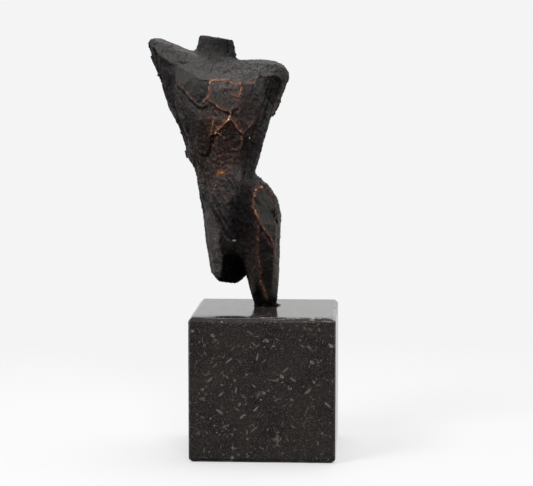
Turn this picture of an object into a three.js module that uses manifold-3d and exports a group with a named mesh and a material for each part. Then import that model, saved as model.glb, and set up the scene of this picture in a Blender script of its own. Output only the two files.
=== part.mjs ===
// A bronze torso without head, arms or lower legs, standing on a cube of dark stone.
//
// Two pieces: the casting (torso) and the cube it stands on (plinth). Millimetres, +Z up. The figure
// faces -Y, and left and right are the viewer's. The origin is the middle of the cube's underside.
//
// The casting is a solid field, below 0 inside. Lofts for the trunk, neck, standing leg and cut-off
// thigh are carved flat where the metal is flat, melted together, and given a few long hollows and
// swellings. The field's zero surface is then covered with small facets.
import * as THREE from "three";
import { mergeVertices } from "three/addons/utils/BufferGeometryUtils.js";
import Module from "manifold-3d";

const wasm = await Module();
wasm.setup();

// ---------------------------------------------------------------- driving dimensions
const PLINTH_SIDE = 100;
const PLINTH_CHAMFER = 2.5;
const FACET = 3; // size of the facets that cover the casting
const WORN = 1.6; // how widely the edges between flat planes are rounded
const WAIST = 98; // heights of the casting are above the plinth
const CROTCH = 38;
const SPACE = { low: [-90, -28, -9], high: [24, 38, 198] }; // holds the whole casting

// ---------------------------------------------------------------- curves and fields
// A smooth curve through [at, value] pairs.
function curve(pairs) {
  const ats = pairs.map(([at]) => at);
  const values = pairs.map(([, value]) => value);
  const track = new THREE.CubicInterpolant(ats, values, 1);
  return (at) => track.evaluate(at)[0];
}

// Two fields joined, melted together over a width.
function melt(a, b, width) {
  const near = Math.max(width - Math.abs(a - b), 0) / width;
  return Math.min(a, b) - (near * near * width) / 4;
}

// What two fields share, with the edge between them rounded over a width.
function trim(a, b, width) {
  return -melt(-a, -b, width);
}

// A limb with superelliptic sections. Its four sides are curves of the height.
function loft({ left, right, front, back, squareness }) {
  const sides = [left, right, front, back].map(curve);
  return (x, y, h) => {
    const [x0, x1, y0, y1] = sides.map((side) => side(h));
    const [halfWidth, halfDepth] = [(x1 - x0) / 2, (y1 - y0) / 2];
    const u = Math.abs(x - (x0 + x1) / 2) / halfWidth;
    const v = Math.abs(y - (y0 + y1) / 2) / halfDepth;
    const out = (u ** squareness + v ** squareness) ** (1 / squareness);
    return (out - 1) * Math.min(halfWidth, halfDepth);
  };
}

// A flat plane. What lies beyond it, on the side it faces, is gone.
function plane(through, facing) {
  const normal = new THREE.Vector3(...facing).normalize();
  const away = normal.dot(new THREE.Vector3(...through));
  return (x, y, h) => normal.x * x + normal.y * y + normal.z * h - away;
}

// A plane that turns away from the figure below a height, and takes nothing off there.
function runOut(cut, below) {
  return (x, y, h) => cut(x, y, h) - 0.7 * Math.max(0, below - h);
}

function carve(field, planes, width = WORN) {
  return (x, y, h) => {
    return planes.reduce((left, cut) => trim(left, cut(x, y, h), width), field(x, y, h));
  };
}

// A long hollow (deep above 0) or swelling (deep below 0) along straight strokes between points.
function stroke({ deep, wide, along }) {
  const runs = along.slice(1).map((end, i) => {
    return new THREE.Line3(new THREE.Vector3(...along[i]), new THREE.Vector3(...end));
  });
  const at = new THREE.Vector3();
  const foot = new THREE.Vector3();
  const toRun = (run) => run.closestPointToPoint(at, true, foot).distanceTo(at);
  return (x, y, h) => {
    at.set(x, y, h);
    return deep * Math.exp(-((Math.min(...runs.map(toRun)) / wide) ** 2));
  };
}

// ---------------------------------------------------------------- the figure's volumes
const trunk = loft({
  left: [[30, -41], [67, -43.5], [90, -48.2], [99, -50.6], [107, -55], [114, -56.2], [122, -58],
    [129, -61.8], [142, -68.2], [148, -69.6], [165, -76.2], [177, -81], [184, -83.6], [192, -84]],
  right: [[30, -14], [60, -7], [90, -7.5], [96, -7.5], [109, -4.2], [120, -0.8], [132, 2.8],
    [145, 9.4], [155, 13.6], [159, 15.2], [163, 16], [168, 16], [190, 15]],
  front: [[30, -5], [42, -9], [52, -11.5], [62, -12.5], [72, -12], [84, -10.5], [96, -9.5],
    [108, -11], [122, -14], [136, -16.5], [148, -17], [158, -15.5], [166, -10.5], [176, -5],
    [190, -2]],
  back: [[30, 19], [42, 22], [54, 25.5], [62, 26.5], [72, 24.5], [84, 18.5], [96, 15.5],
    [108, 17], [122, 20.5], [136, 23], [148, 24], [158, 23], [168, 20], [178, 16.5], [190, 13]],
  squareness: 2.5,
});

// Height of the shoulders across the figure, from the tip of the raised arm to the right shoulder.
const shoulders = curve([[-84, 186.4], [-81, 188.8], [-76, 189], [-68, 186], [-56, 180.4],
  [-47, 177.8], [-35, 175.5], [-22, 173], [0, 172.8], [10, 171.2], [14, 169.4], [18, 164]]);

const neck = loft({
  left: [[160, -53], [172, -51], [180, -48.9], [186, -46.8], [194, -45.2]],
  right: [[160, -20], [172, -21.2], [180, -22.8], [186, -23.6], [194, -24.4]],
  front: [[160, -9], [172, -5], [180, -3], [194, -2]],
  back: [[160, 20], [172, 18.5], [180, 18], [194, 17.5]],
  squareness: 2.3,
});

const standingLeg = loft({
  left: [[-5, -8], [0, -8.6], [10, -11], [21, -13.8], [30, -16.4], [47, -21], [60, -24],
    [75, -26], [92, -24]],
  right: [[-5, 7], [0, 7.3], [13, 8], [27, 9], [47, 9.8], [56, 9.8], [60, 10.4], [65, 10],
    [71, 8.8], [78, 6.4], [84, 2.8], [89, -1.4], [93, -6]],
  front: [[-5, 4], [0, 4.4], [13, 1.5], [27, -3], [47, -8], [60, -11], [72, -12], [84, -10.5],
    [93, -8]],
  back: [[-5, 20], [0, 19.6], [13, 20], [27, 21.5], [44, 25], [56, 28.5], [66, 29], [76, 26],
    [84, 21], [93, 15]],
  squareness: 2.3,
});

const cutOffThigh = loft({
  left: [[10, -35.5], [16, -36.6], [22, -37.6], [28, -39.2], [47, -41.6], [60, -42.8], [80, -45]],
  right: [[10, -14], [16, -13.6], [27, -14.4], [36, -15.4], [47, -17], [60, -19], [80, -22]],
  front: [[10, -4], [22, -6.5], [34, -8.5], [46, -10], [58, -10], [70, -9], [80, -7]],
  back: [[10, 18], [22, 20.5], [34, 22.5], [48, 26], [60, 27.5], [70, 25], [80, 20]],
  squareness: 2.4,
});

// ---------------------------------------------------------------- flats, cuts and strokes
const chestFlats = [
  plane([-30, -16, 158.5], [0, -0.85, 0.53]), // from the collar bones down to the breasts
  plane([-52, -14.5, 150], [-0.25, -0.95, -0.05]), // left breast
  plane([-12, -15.5, 146], [0.22, -0.97, -0.02]), // right breast
  runOut(plane([-60, -10, 146], [-0.66, -0.74, -0.14]), WAIST), // left flank, from the armpit
  runOut(plane([-62, 17, 150], [-0.58, 0.8, -0.1]), WAIST), // the same, behind
  runOut(plane([-3, -11.5, 136], [0.64, -0.74, -0.16]), WAIST), // right flank
  runOut(plane([-2, 18, 136], [0.62, 0.78, -0.06]), WAIST), // the same, behind
  runOut(plane([13, 2, 150], [0.78, -0.5, -0.35]), 139), // where the right arm is cut off
];

const legFlats = [
  plane([-1, -8.6, 68], [0.46, -0.88, 0.06]), // hip
  plane([0.5, -5.4, 34], [0.42, -0.9, -0.1]), // thigh
];

const neckTop = plane([-34, 8, 188], [0.16, 0.06, 1]);
const thighEnd = plane([-25, 6, 15], [-0.04, -0.1, -1]);
const thighInside = plane([-30, -9, 33], [0.62, -0.62, -0.4]);

const strokes = {
  spine: { deep: 2.4, wide: 5, along: [[-34, 22, 166], [-33, 24, 140], [-29, 17, 104], [-24, 22, 78]] },
  betweenButtocks: { deep: 4.5, wide: 4, along: [[-23, 25, 78], [-20, 27, 62], [-18, 24, 44]] },
  betweenThighs: { deep: 1.4, wide: 4.5, along: [[-21, -13, 60], [-20, -12, 46]] },
  groin: { deep: 1.4, wide: 4, along: [[-44, -4, 72], [-37, -10, 62], [-29, -12, 50]] },
  hipBone: { deep: -1.2, wide: 5, along: [[-43, -5, 80], [-37, -10, 72]] },
  leftShoulderBlade: { deep: -1.8, wide: 6, along: [[-48, 23, 162], [-46, 24, 146], [-50, 22, 134]] },
  rightShoulderBlade: { deep: -1.8, wide: 6, along: [[-14, 23, 162], [-18, 24, 146], [-14, 22, 134]] },
};

// ---------------------------------------------------------------- the casting's field
const chest = carve(trunk, chestFlats);
const leg = carve(standingLeg, legFlats);
const thigh = carve(carve(cutOffThigh, [thighEnd], 9), [thighInside]);
const neckStub = carve(neck, [neckTop]);
const pressed = Object.values(strokes).map(stroke);

function casting(x, y, h) {
  const belowShoulders = trim(chest(x, y, h), h - shoulders(x), 5);
  const body = trim(belowShoulders, CROTCH - h, 12);
  const throat = trim(neckStub(x, y, h), 162 - h, 6);
  const leftThigh = trim(thigh(x, y, h), h - 80, 10);
  const rightLeg = trim(trim(leg(x, y, h), h - 92, 8), -4 - h, 1);
  const legs = melt(leftThigh, rightLeg, 3);
  // Body and legs melt widely in the middle, and hardly at all at the outline.
  const hips = 2.5 + 11 * Math.exp(-(((x + 22) / 11) ** 2));
  const smooth = melt(melt(body, throat, 3.5), legs, hips);
  return pressed.reduce((field, press) => field + press(x, y, h), smooth);
}

// ---------------------------------------------------------------- covering a field with facets
// The point between two grid points where the field changes sign.
function crossing(field, a, b) {
  let [inside, outside] = field(...a) < 0 ? [a, b] : [b, a];
  for (let halving = 0; halving < 8; halving++) {
    const middle = inside.map((value, k) => (value + outside[k]) / 2);
    if (field(...middle) < 0) inside = middle;
    else outside = middle;
  }
  return new THREE.Vector3(...inside);
}

function normalAt(field, { x, y, z }) {
  const e = 0.05;
  return new THREE.Vector3(
    field(x + e, y, z) - field(x - e, y, z),
    field(x, y + e, z) - field(x, y - e, z),
    field(x, y, z + e) - field(x, y, z - e),
  ).normalize();
}

// Starts at the middle of the touched points and slides towards where the touching planes meet.
function meetingPoint(planes) {
  const point = new THREE.Vector3();
  planes.forEach((touch) => point.addScaledVector(touch.point, 1 / planes.length));
  for (let step = 0; step < 20; step++) {
    const pull = new THREE.Vector3();
    for (const touch of planes) {
      const gap = touch.point.clone().sub(point).dot(touch.normal);
      pull.addScaledVector(touch.normal, gap / planes.length);
    }
    point.add(pull);
  }
  return point;
}

// A closed mesh of the field's zero surface. Each grid cell that the surface passes through holds
// one vertex, and two facets cross each grid edge where the field changes sign.
function skin(field, { low, high }, size) {
  const count = low.map((value, k) => Math.ceil((high[k] - value) / size) + 1);
  const place = (i, j, k) => [low[0] + i * size, low[1] + j * size, low[2] + k * size];
  const number = (i, j, k) => i + count[0] * (j + count[1] * k);
  const cellOf = (n) => {
    const row = Math.floor(n / count[0]);
    return [n % count[0], row % count[1], Math.floor(row / count[1])];
  };
  const eachPoint = (visit) => {
    for (let k = 1; k < count[2] - 1; k++)
      for (let j = 1; j < count[1] - 1; j++)
        for (let i = 1; i < count[0] - 1; i++) visit(i, j, k);
  };

  const inside = new Set();
  eachPoint((i, j, k) => {
    if (field(...place(i, j, k)) < 0) inside.add(number(i, j, k));
  });

  const touched = new Map(); // the planes that touch the surface in each cell
  const quads = [];
  const axes = [[1, 0, 0], [0, 1, 0], [0, 0, 1]];
  eachPoint((i, j, k) => axes.forEach(([di, dj, dk], axis) => {
    const here = inside.has(number(i, j, k));
    if (here === inside.has(number(i + di, j + dj, k + dk))) return;
    const point = crossing(field, place(i, j, k), place(i + di, j + dj, k + dk));
    const touch = { point, normal: normalAt(field, point) };
    const [u, v] = [axes[(axis + 1) % 3], axes[(axis + 2) % 3]];
    const around = [[0, 0], [1, 0], [1, 1], [0, 1]].map(([s, t]) => {
      return number(i - s * u[0] - t * v[0], j - s * u[1] - t * v[1], k - s * u[2] - t * v[2]);
    });
    around.forEach((cell) => touched.set(cell, [...(touched.get(cell) ?? []), touch]));
    quads.push(here ? around : around.reverse());
  }));

  const positions = [];
  const vertexOf = new Map();
  for (const [cell, planes] of touched) {
    const corner = new THREE.Vector3(...place(...cellOf(cell)));
    const point = meetingPoint(planes).clamp(corner, corner.clone().addScalar(size));
    vertexOf.set(cell, vertexOf.size);
    positions.push(...point);
  }
  const triangles = quads.flatMap((quad) => {
    const [a, b, c, d] = quad.map((cell) => vertexOf.get(cell));
    return [a, b, c, a, c, d];
  });
  const geometry = new THREE.BufferGeometry();
  geometry.setAttribute("position", new THREE.Float32BufferAttribute(positions, 3));
  geometry.setIndex(triangles);
  return geometry;
}

// ---------------------------------------------------------------- solids
function toSolid(geometry) {
  const bare = geometry.clone();
  bare.deleteAttribute("normal");
  bare.deleteAttribute("uv");
  const merged = mergeVertices(bare, 1e-4);
  return new wasm.Manifold(new wasm.Mesh({
    numProp: 3,
    vertProperties: merged.getAttribute("position").array,
    triVerts: new Uint32Array(merged.index.array),
  }));
}

function toGeometry(solid) {
  const { vertProperties, triVerts } = solid.getMesh();
  const geometry = new THREE.BufferGeometry();
  geometry.setAttribute("position", new THREE.BufferAttribute(vertProperties, 3));
  geometry.setIndex(new THREE.BufferAttribute(triVerts, 1));
  return geometry;
}

// The casting, cut flat where its leg meets the plinth.
function torsoGeometry() {
  const depth = 20;
  const below = new THREE.BoxGeometry(60, 60, depth).translate(0, 10, -depth / 2);
  return toGeometry(toSolid(skin(casting, SPACE, FACET)).subtract(toSolid(below)));
}

// A cube with every edge chamfered: what three crossed bars with chamfered edges share.
function plinthGeometry() {
  const half = PLINTH_SIDE / 2;
  const inner = half - PLINTH_CHAMFER;
  const section = new THREE.Shape([
    [-inner, -half], [inner, -half], [half, -inner], [half, inner],
    [inner, half], [-inner, half], [-half, inner], [-half, -inner],
  ].map(([x, y]) => new THREE.Vector2(x, y)));
  const bar = () => {
    const extrusion = { depth: PLINTH_SIDE, bevelEnabled: false };
    return new THREE.ExtrudeGeometry(section, extrusion).translate(0, 0, -half);
  };
  const upright = toSolid(bar());
  const across = toSolid(bar().rotateX(Math.PI / 2));
  const along = toSolid(bar().rotateY(Math.PI / 2));
  return toGeometry(upright.intersect(across).intersect(along)).translate(0, 0, half);
}

// ---------------------------------------------------------------- the object
const bronze = new THREE.MeshStandardMaterial({ color: 0x2b2320, roughness: 0.4, metalness: 0.8 });
const stone = new THREE.MeshStandardMaterial({ color: 0x2a2826, roughness: 0.35, metalness: 0 });

const torso = new THREE.Mesh(torsoGeometry(), bronze);
torso.name = "torso";
torso.position.z = PLINTH_SIDE;

const plinth = new THREE.Mesh(plinthGeometry(), stone);
plinth.name = "plinth";

const sculpture = new THREE.Group();
sculpture.name = "sculpture";
sculpture.add(plinth, torso);

export default sculpture;
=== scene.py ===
"""A bronze torso on a cube of fossil stone, dressed for rendering.

The torso starts from its solid. Knife planes are laid across the front, meeting along crests;
the flanks and back get broader facets; streaks, grain and wear follow. All sizes are in
millimetres until they become metres by MM.
"""
import math
from functools import partial

import bmesh
import bpy
import numpy as np
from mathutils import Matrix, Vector, noise
from mathutils.bvhtree import BVHTree
from mathutils.geometry import delaunay_2d_cdt


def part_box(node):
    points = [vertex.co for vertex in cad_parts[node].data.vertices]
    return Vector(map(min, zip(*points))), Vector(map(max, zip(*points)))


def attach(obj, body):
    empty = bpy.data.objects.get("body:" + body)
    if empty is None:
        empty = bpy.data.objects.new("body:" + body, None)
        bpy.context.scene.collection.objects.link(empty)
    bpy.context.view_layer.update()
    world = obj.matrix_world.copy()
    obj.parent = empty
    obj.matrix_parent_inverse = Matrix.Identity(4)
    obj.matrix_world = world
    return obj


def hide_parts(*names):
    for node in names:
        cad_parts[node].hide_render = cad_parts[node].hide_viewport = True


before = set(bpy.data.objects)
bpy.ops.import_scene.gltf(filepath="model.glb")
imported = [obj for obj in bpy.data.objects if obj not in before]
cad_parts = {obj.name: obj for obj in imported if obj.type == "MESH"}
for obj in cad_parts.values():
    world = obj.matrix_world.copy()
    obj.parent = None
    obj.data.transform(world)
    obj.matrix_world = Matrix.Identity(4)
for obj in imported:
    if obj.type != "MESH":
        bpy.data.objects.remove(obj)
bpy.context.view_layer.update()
MM = 0.001
PLINTH_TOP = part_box("plinth")[1][2] / MM

SKIN_CELL = 0.52       # grid of the torso's fine skin
TORSO_TRIANGLES = 196000
TORSO_HEIGHT = 190     # above the plinth, to the nearest 10
PLINTH_CHAMFER = 2.7   # across the cut-off upper edges, along each face
PLINTH_CELLS = 72      # grid cells along each edge of the plinth
FACETS_BEHIND = 400    # knife facets over the flanks and back
SEED = 7

# The camera, in degrees round from the front and above level, in metres away, and what it faces.
CAMERA_ROUND = 3.07
CAMERA_ABOVE = 5.79
CAMERA_AWAY = 1.3425
CAMERA_LENS = 129.8
CAMERA_AIM = (0.56, 145.6)   # aside, and up from the table

# Crests of the modelling: how high each stands, how far its patina is rubbed back to copper
# (0 to 1), and its course as (x, height above the plinth). A negative height is a groove.
CRESTS = {
    "sternum top": (0.5, 0.65, [
        (-37.5, 158.5), (-34, 159), (-31, 159), (-24.5, 159), (-22, 157.5), (-20, 156),
        (-17.5, 157.5), (-16, 156)]),
    "collar right": (0.4, 0.5, [
        (-16, 156), (-13.5, 155.5), (-12, 157), (-8.5, 157), (-6, 158.5), (-4, 163)]),
    "sternum left": (0.5, 0.7, [
        (-37.5, 158.5), (-38, 154.5), (-38, 151.5), (-38.5, 148), (-40, 146.5), (-42.5, 144)]),
    "sternum low": (0.5, 0.7, [
        (-40, 146.5), (-37, 144.5), (-34.5, 143.5), (-32.5, 141.5), (-30, 140), (-27, 138.5),
        (-23, 137.5)]),
    "sternum right": (0.5, 0.7, [
        (-16, 156), (-16, 153), (-16.5, 150), (-18, 148), (-20.5, 148.5), (-23, 149.5)]),
    "sternum facet": (0.3, 0.4, [
        (-23, 149.5), (-24.5, 148), (-27, 146.5), (-29, 145), (-30, 140)]),
    "sternum corner": (0.4, 0.5, [
        (-16.5, 150), (-16.5, 146), (-16.5, 143), (-18.5, 141), (-21, 140), (-23, 137.5)]),
    "keel": (0.8, 1.0, [
        (-23, 137.5), (-23.5, 135), (-24.5, 132.5), (-26.5, 130), (-29.5, 127), (-32.5, 125),
        (-34, 122)]),
    "keel spur": (0.4, 0.8, [(-32.5, 125), (-31.5, 122.5), (-30, 121)]),
    "rib left": (0.5, 0.8, [(-34.5, 133), (-35.5, 128), (-36.5, 125), (-37, 121.5)]),
    "crack": (-1.4, 0.0, [(-36, 121), (-36.5, 117), (-37.5, 114), (-38.5, 111), (-40.5, 106)]),
    "crack left": (0.4, 0.35, [(-38, 118.5), (-39.5, 115), (-40, 112), (-41.5, 108)]),
    "crack right": (0.4, 0.3, [(-34.5, 121), (-33.5, 118), (-33, 114), (-34, 111)]),
    "pec right left": (0.3, 0.4, [
        (-16.5, 143), (-17.5, 139), (-18, 135.5), (-18, 132.5), (-17.5, 125)]),
    "pec right edge": (0.4, 0.3, [
        (-6, 158.5), (-6, 153), (-4.5, 149), (-3.5, 145), (-4, 141), (-5.5, 134.5)]),
    "pec right low": (0.4, 0.55, [
        (-5.5, 134.5), (-6.5, 132), (-10, 128), (-13, 124.5), (-14.5, 122)]),
    "pec scratch": (0.2, 0.3, [(-11.5, 142), (-15, 139.5), (-16.5, 138)]),
    "arch right": (0.6, 0.9, [
        (-23.5, 135), (-22, 131), (-19.5, 128.5), (-17.5, 125), (-14.5, 122)]),
    "epigastric edge": (0.6, 0.65, [
        (-14.5, 122), (-15.5, 119.5), (-16, 116.5), (-16.5, 114), (-17.5, 111.5), (-20.5, 110.5)]),
    "epigastric low": (0.4, 0.5, [(-25, 114.5), (-22, 112), (-20.5, 110.5)]),
    "belly right": (0.3, 0.35, [
        (-17.5, 111.5), (-19, 108.5), (-19, 105), (-17.5, 100), (-17, 96), (-17.5, 89.5)]),
    "flank right": (0.2, 0.1, [(-10.5, 119.5), (-11, 105.5), (-12.5, 94), (-13.5, 89)]),
    "pec left low": (0.4, 0.5, [
        (-61, 158), (-57.5, 154), (-55, 151), (-52, 148), (-48, 144), (-45, 141.5),
        (-42.5, 140.5)]),
    "pec left join": (0.2, 0.2, [(-42.5, 144), (-42.5, 140.5)]),
    "collar left": (0.2, 0.15, [
        (-63, 171), (-57, 167.5), (-52.5, 165), (-48.5, 162), (-44, 160), (-37.5, 158.5)]),
    "pec left side": (0.2, 0.2, [(-63, 171), (-62.5, 167.5), (-61.5, 162.5), (-61, 158)]),
    "arm edge": (0.3, 0.35, [
        (-81, 183.5), (-77.5, 181.5), (-73.5, 177), (-67, 172.5), (-63, 171)]),
    "back muscle": (0.2, 0.15, [
        (-61, 158), (-60, 152), (-59.5, 145.5), (-57, 141.5), (-54.5, 135.5)]),
    "ribs left": (0.2, 0.2, [
        (-57.5, 154), (-55, 148.5), (-53, 139.5), (-51, 130.5), (-49.5, 120.5)]),
    "flank left": (0.3, 0.15, [
        (-42.5, 140.5), (-44.5, 133), (-46, 125), (-46, 118), (-45.5, 109), (-44, 101.5),
        (-40.5, 90.5), (-39.5, 83), (-37.5, 75.5)]),
    "vee left": (0.4, 0.5, [
        (-31.5, 90), (-34, 87), (-34.5, 84.5), (-36.5, 81), (-37.5, 77.5)]),
    "vee right": (0.4, 0.45, [
        (-31.5, 90), (-30, 86.5), (-29, 82.5), (-27.5, 78.5), (-25, 74.5)]),
    "belly across": (0.3, 0.25, [
        (-40.5, 106), (-36, 100.5), (-29.5, 98.5), (-23, 101.5), (-19, 105)]),
    "belly to vee": (0.3, 0.3, [(-36, 100.5), (-34, 95), (-31.5, 90)]),
    "belly to flank": (0.3, 0.3, [(-23, 101.5), (-21.5, 92.5), (-17.5, 89.5)]),
    "belly middle": (0.3, 0.2, [(-33.5, 109.5), (-29.5, 98.5)]),
    "belly to keel": (0.3, 0.2, [(-25, 114.5), (-28, 119.5), (-30, 121)]),
    "hip plane left": (0.8, 0.8, [
        (-1, 85.5), (-4.5, 85), (-6, 83.5), (-7, 80), (-8, 75.5), (-8, 71.5), (-6, 67.5),
        (-3.5, 61)]),
    "hip plane low": (0.8, 0.7, [(-3.5, 61), (-0.5, 56), (3, 51), (5.5, 45.5), (6, 41)]),
    "hip plane right": (0.4, 0.45, [(-1, 85.5), (2.5, 82), (5, 76.5), (7, 71.5), (7, 67)]),
    "hip side": (0.3, 0.2, [(7, 67), (7, 58.5), (7, 51), (6, 41)]),
    "hip second line": (0.4, 0.5, [(-3.5, 61), (0, 51), (3, 46), (5.5, 39.5)]),
    "thigh": (0.5, 0.55, [
        (-3.5, 61), (-4.5, 57.5), (-5, 51), (-5, 45), (-5, 39), (-4, 32.5), (-3.5, 25),
        (-4, 22.5)]),
    "shin": (0.5, 0.7, [(-4, 18.5), (-1.5, 14), (-0.5, 9), (0.5, 4.5)]),
    "thigh right": (0.4, 0.45, [(6, 41), (6, 34.5), (5.5, 26), (5, 19.5), (4, 13), (3, 7)]),
    "thigh inside": (0.2, 0.3, [
        (-14.5, 51.5), (-13, 45), (-12.5, 40), (-11, 32.5), (-8.5, 23), (-6.5, 13.5)]),
    "groin": (0.4, 0.0, [
        (-41.5, 74), (-38.5, 68), (-34.5, 63), (-31, 56.5), (-28.5, 52), (-26.5, 49)]),
    "stump rim": (0.7, 0.3, [
        (-32.5, 47.5), (-31.5, 43.5), (-30.5, 39), (-30, 34), (-29.5, 30.5)]),
    "belly groove": (-0.5, 0.0, [(-23, 73.5), (-22, 66.5), (-21.5, 57), (-21, 49)]),
    "pelvis right": (0.2, 0.15, [
        (-17.5, 89.5), (-16.5, 82), (-15, 73.5), (-14.5, 63), (-14.5, 51.5)]),
    "pelvis middle": (0.2, 0.1, [(-25, 74.5), (-23, 73.5)]),
    "pelvis left": (0.2, 0.1, [(-37.5, 77.5), (-33.5, 69.5), (-29.5, 61.5), (-25.5, 54.5)]),
    "fold upper": (0.4, 0.15, [(-33, 78), (-30, 72), (-27.5, 65), (-24.5, 58)]),
    "fold between": (-0.4, 0.0, [(-35.5, 77), (-31.8, 70), (-28.5, 62.5)]),
    "fold right": (0.4, 0.2, [(-21, 80), (-19.5, 72), (-18.5, 63), (-18.5, 54)]),
    "fold middle": (-0.4, 0.0, [(-19, 84), (-18, 76), (-16.7, 66)]),
    "shoulder cut top": (0.4, 0.3, [(-0.5, 161.5), (3.5, 162.5), (7.5, 162.5), (11.5, 160)]),
    "shoulder cut outside": (0.4, 0.45, [(11.5, 160), (11.5, 154.5), (10, 149.5), (5.5, 142)]),
    "shoulder cut inside": (-0.7, 0.0, [(-0.5, 161.5), (0, 152.5), (1.5, 145.5), (5.5, 142)]),
    "hip tear": (-1.9, 0.0, [(5.5, 67), (7, 63.5), (8.5, 60), (11, 57.5)]),
    "shoulder slit": (-0.7, 0.0, [(-59, 171), (-57, 170.5), (-55, 170.5)]),
    "collar notch": (-0.9, 0.0, [(-4, 163), (-2.5, 160.5)]),
    "armpit slit": (-0.7, 0.0, [(-63, 162), (-63.5, 159)]),
    "sternum dash": (0.3, 0.55, [(-31, 154), (-25.5, 154)]),
    "sternum scratch": (0.2, 0.15, [(-31.5, 158), (-31, 152.5), (-31.5, 147)]),
}

# Corners of the planes that stand further out than their crests.
CORNERS = {
    (-23, 137.5): 2.0, (-30, 140): 1.1, (-23.5, 135): 1.8, (-26.5, 130): 1.5, (-32.5, 125): 1.2,
    (-34, 122): 1.0, (-14.5, 122): 1.5, (-17.5, 125): 1.2, (-16.5, 114): 1.0, (-17.5, 111.5): 0.9,
    (-52, 148): 1.0, (-48, 144): 1.2, (-45, 141.5): 1.2, (-42.5, 140.5): 1.2, (-42.5, 144): 1.0,
    (-8, 75.5): 1.1, (-8, 71.5): 1.2, (-3.5, 61): 1.2, (3, 51): 1.2, (-37.5, 158.5): 0.9,
    (-16, 156): 1.0, (-4, 141): 0.9, (-10, 128): 1.0,
    (-77.5, 181.5): 0.9, (-73.5, 177): 1.3, (-67, 172.5): 1.4, (-63, 171): 1.0,
    (11.5, 160): 0.8, (3.5, 162.5): 0.8, (7.5, 162.5): 0.8,
    (-38.5, 68): 1.3, (-34.5, 63): 1.5, (-31, 56.5): 1.3,
    (7, 67): 0.9, (7, 58.5): 1.1, (7, 51): 1.2, (6, 41): 1.3, (6, 34.5): 1.3, (5.5, 26): 1.2,
    (5, 19.5): 1.1, (-13, 45): 0.8, (-12.5, 40): 1.1, (-11, 32.5): 1.2, (-8.5, 23): 1.1,
    (-30.5, 39): 1.2, (-30, 34): 1.2, (-31.5, 43.5): 1.1, (-29.5, 30.5): 1.0,
    (-61, 158): 0.9, (-57.5, 154): 0.9, (-44.5, 133): 0.8, (-46, 125): 0.8, (-46, 118): 0.8,
    (-39.5, 83): 0.7, (-40.5, 90.5): 0.7,
}

# Planes of the front with painted light and shade of their own: how much painted light (above 1
# also a painted sheen; below nought, painted shade, how black), how softly that ends, and the outline.
PAINTED_LIGHT_PLANES = {
    "sternum": (0.55, 1.2, [
        (-37.5, 158.5), (-31, 159), (-24.5, 159), (-20, 156), (-16, 156), (-16, 150), (-16.5, 143),
        (-21, 140), (-23, 137.5), (-30, 140), (-34.5, 143.5), (-40, 146.5), (-38, 151.5)]),
    "pec left": (-0.4, 1.4, [
        (-62, 169), (-52.5, 165), (-44, 160), (-37.5, 158.5), (-38, 151.5), (-42.5, 144),
        (-43, 141), (-48, 144), (-55, 151), (-61, 158)]),
    "arm underneath": (-0.5, 1.6, [
        (-90, 186), (-82, 183.5), (-77.5, 181), (-73.5, 176.5), (-67, 172), (-63, 170), (-62, 160),
        (-62, 140), (-74, 140)]),
    "shoulder cut": (-0.6, 1.6, [
        (-0.5, 161.5), (3.5, 162.5), (7.5, 162.5), (11.5, 160), (11.5, 154.5), (5.5, 142),
        (0.5, 147)]),
    "neck": (-0.45, 3.0, [(-50, 195), (-46, 176), (-36, 171), (-14, 170), (-8, 174), (-8, 195)]),
    "under the arch": (-0.3, 2.0, [
        (-23.5, 135), (-17.5, 125), (-14.5, 122), (-16.5, 114), (-20.5, 110.5), (-25, 114.5),
        (-30, 121), (-32.5, 125)]),
    "right of the belly": (-0.4, 3.5, [
        (-14.5, 121), (-10, 127), (-4, 134), (-5, 119), (-8, 105), (-11, 90), (-15, 84),
        (-17, 100), (-19, 107), (-16.5, 114)]),
    "left of the belly": (-0.3, 3.5, [
        (-44, 131), (-36.5, 124), (-38, 112), (-41, 100), (-35, 92), (-39.5, 84), (-44, 101),
        (-46, 118)]),
    "pelvis": (-0.35, 5.0, [
        (-33, 84), (-17.5, 90), (-9, 87), (-8, 72), (-4, 61), (-5.5, 45), (-13, 44), (-21, 49),
        (-27, 48), (-36, 65), (-39, 76)]),
    "groin": (-0.45, 6.0, [(-23, 74), (-17, 86), (-9, 84), (-9, 70), (-5, 60), (-14, 50), (-21, 48)]),
    "outer stump": (1.25, 1.6, [
        (-43, 74), (-38.5, 67), (-34.5, 62), (-31, 56), (-32.5, 47.5), (-30.5, 39), (-30, 32),
        (-31, 21), (-37, 24), (-42, 60)]),
    "hollow": (-1.4, 2.5, [
        (-27.5, 38), (-29.3, 31.3), (-30.7, 27), (-32, 21.5), (-36.2, 20), (-37, 14), (-12, 14),
        (-14, 21.5), (-15.4, 27), (-18.2, 35.4), (-22, 37.5)]),
    "top of the hollow": (-0.7, 4.0, [
        (-31, 47), (-29.5, 38), (-28, 32), (-15.5, 32), (-17, 40), (-20, 49)]),
    "inner thigh": (0.9, 2.5, [(-19, 41), (-15.5, 32), (-12, 20), (-9.5, 9), (-7.5, 12), (-12.5, 36)]),
    "thigh front": (-0.5, 1.8, [
        (-3.5, 59), (5.5, 40), (5.5, 26), (4, 13), (2.5, 6), (0.5, 9), (-4, 22), (-5, 40)]),
    "thigh side": (1.9, 1.2, [
        (7.2, 66), (12, 66), (12, 20), (9, 4), (4.5, 8), (5.5, 20), (6.5, 34), (7, 50)]),
    "foot": (-1.0, 4.0, [
        (-14, -5), (-10, 10), (-6.5, 17), (-3.5, 13), (-1, 7), (2, 6), (5, 11), (11, -5)]),
}

# The stump's sawn underside: its height along x.
SAWN = [(-42, 28), (-37.6, 23.2), (-35.2, 19.8), (-30.7, 17.6), (-22.5, 15.9), (-16.2, 17.9),
        (-14.3, 21.2)]

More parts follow.
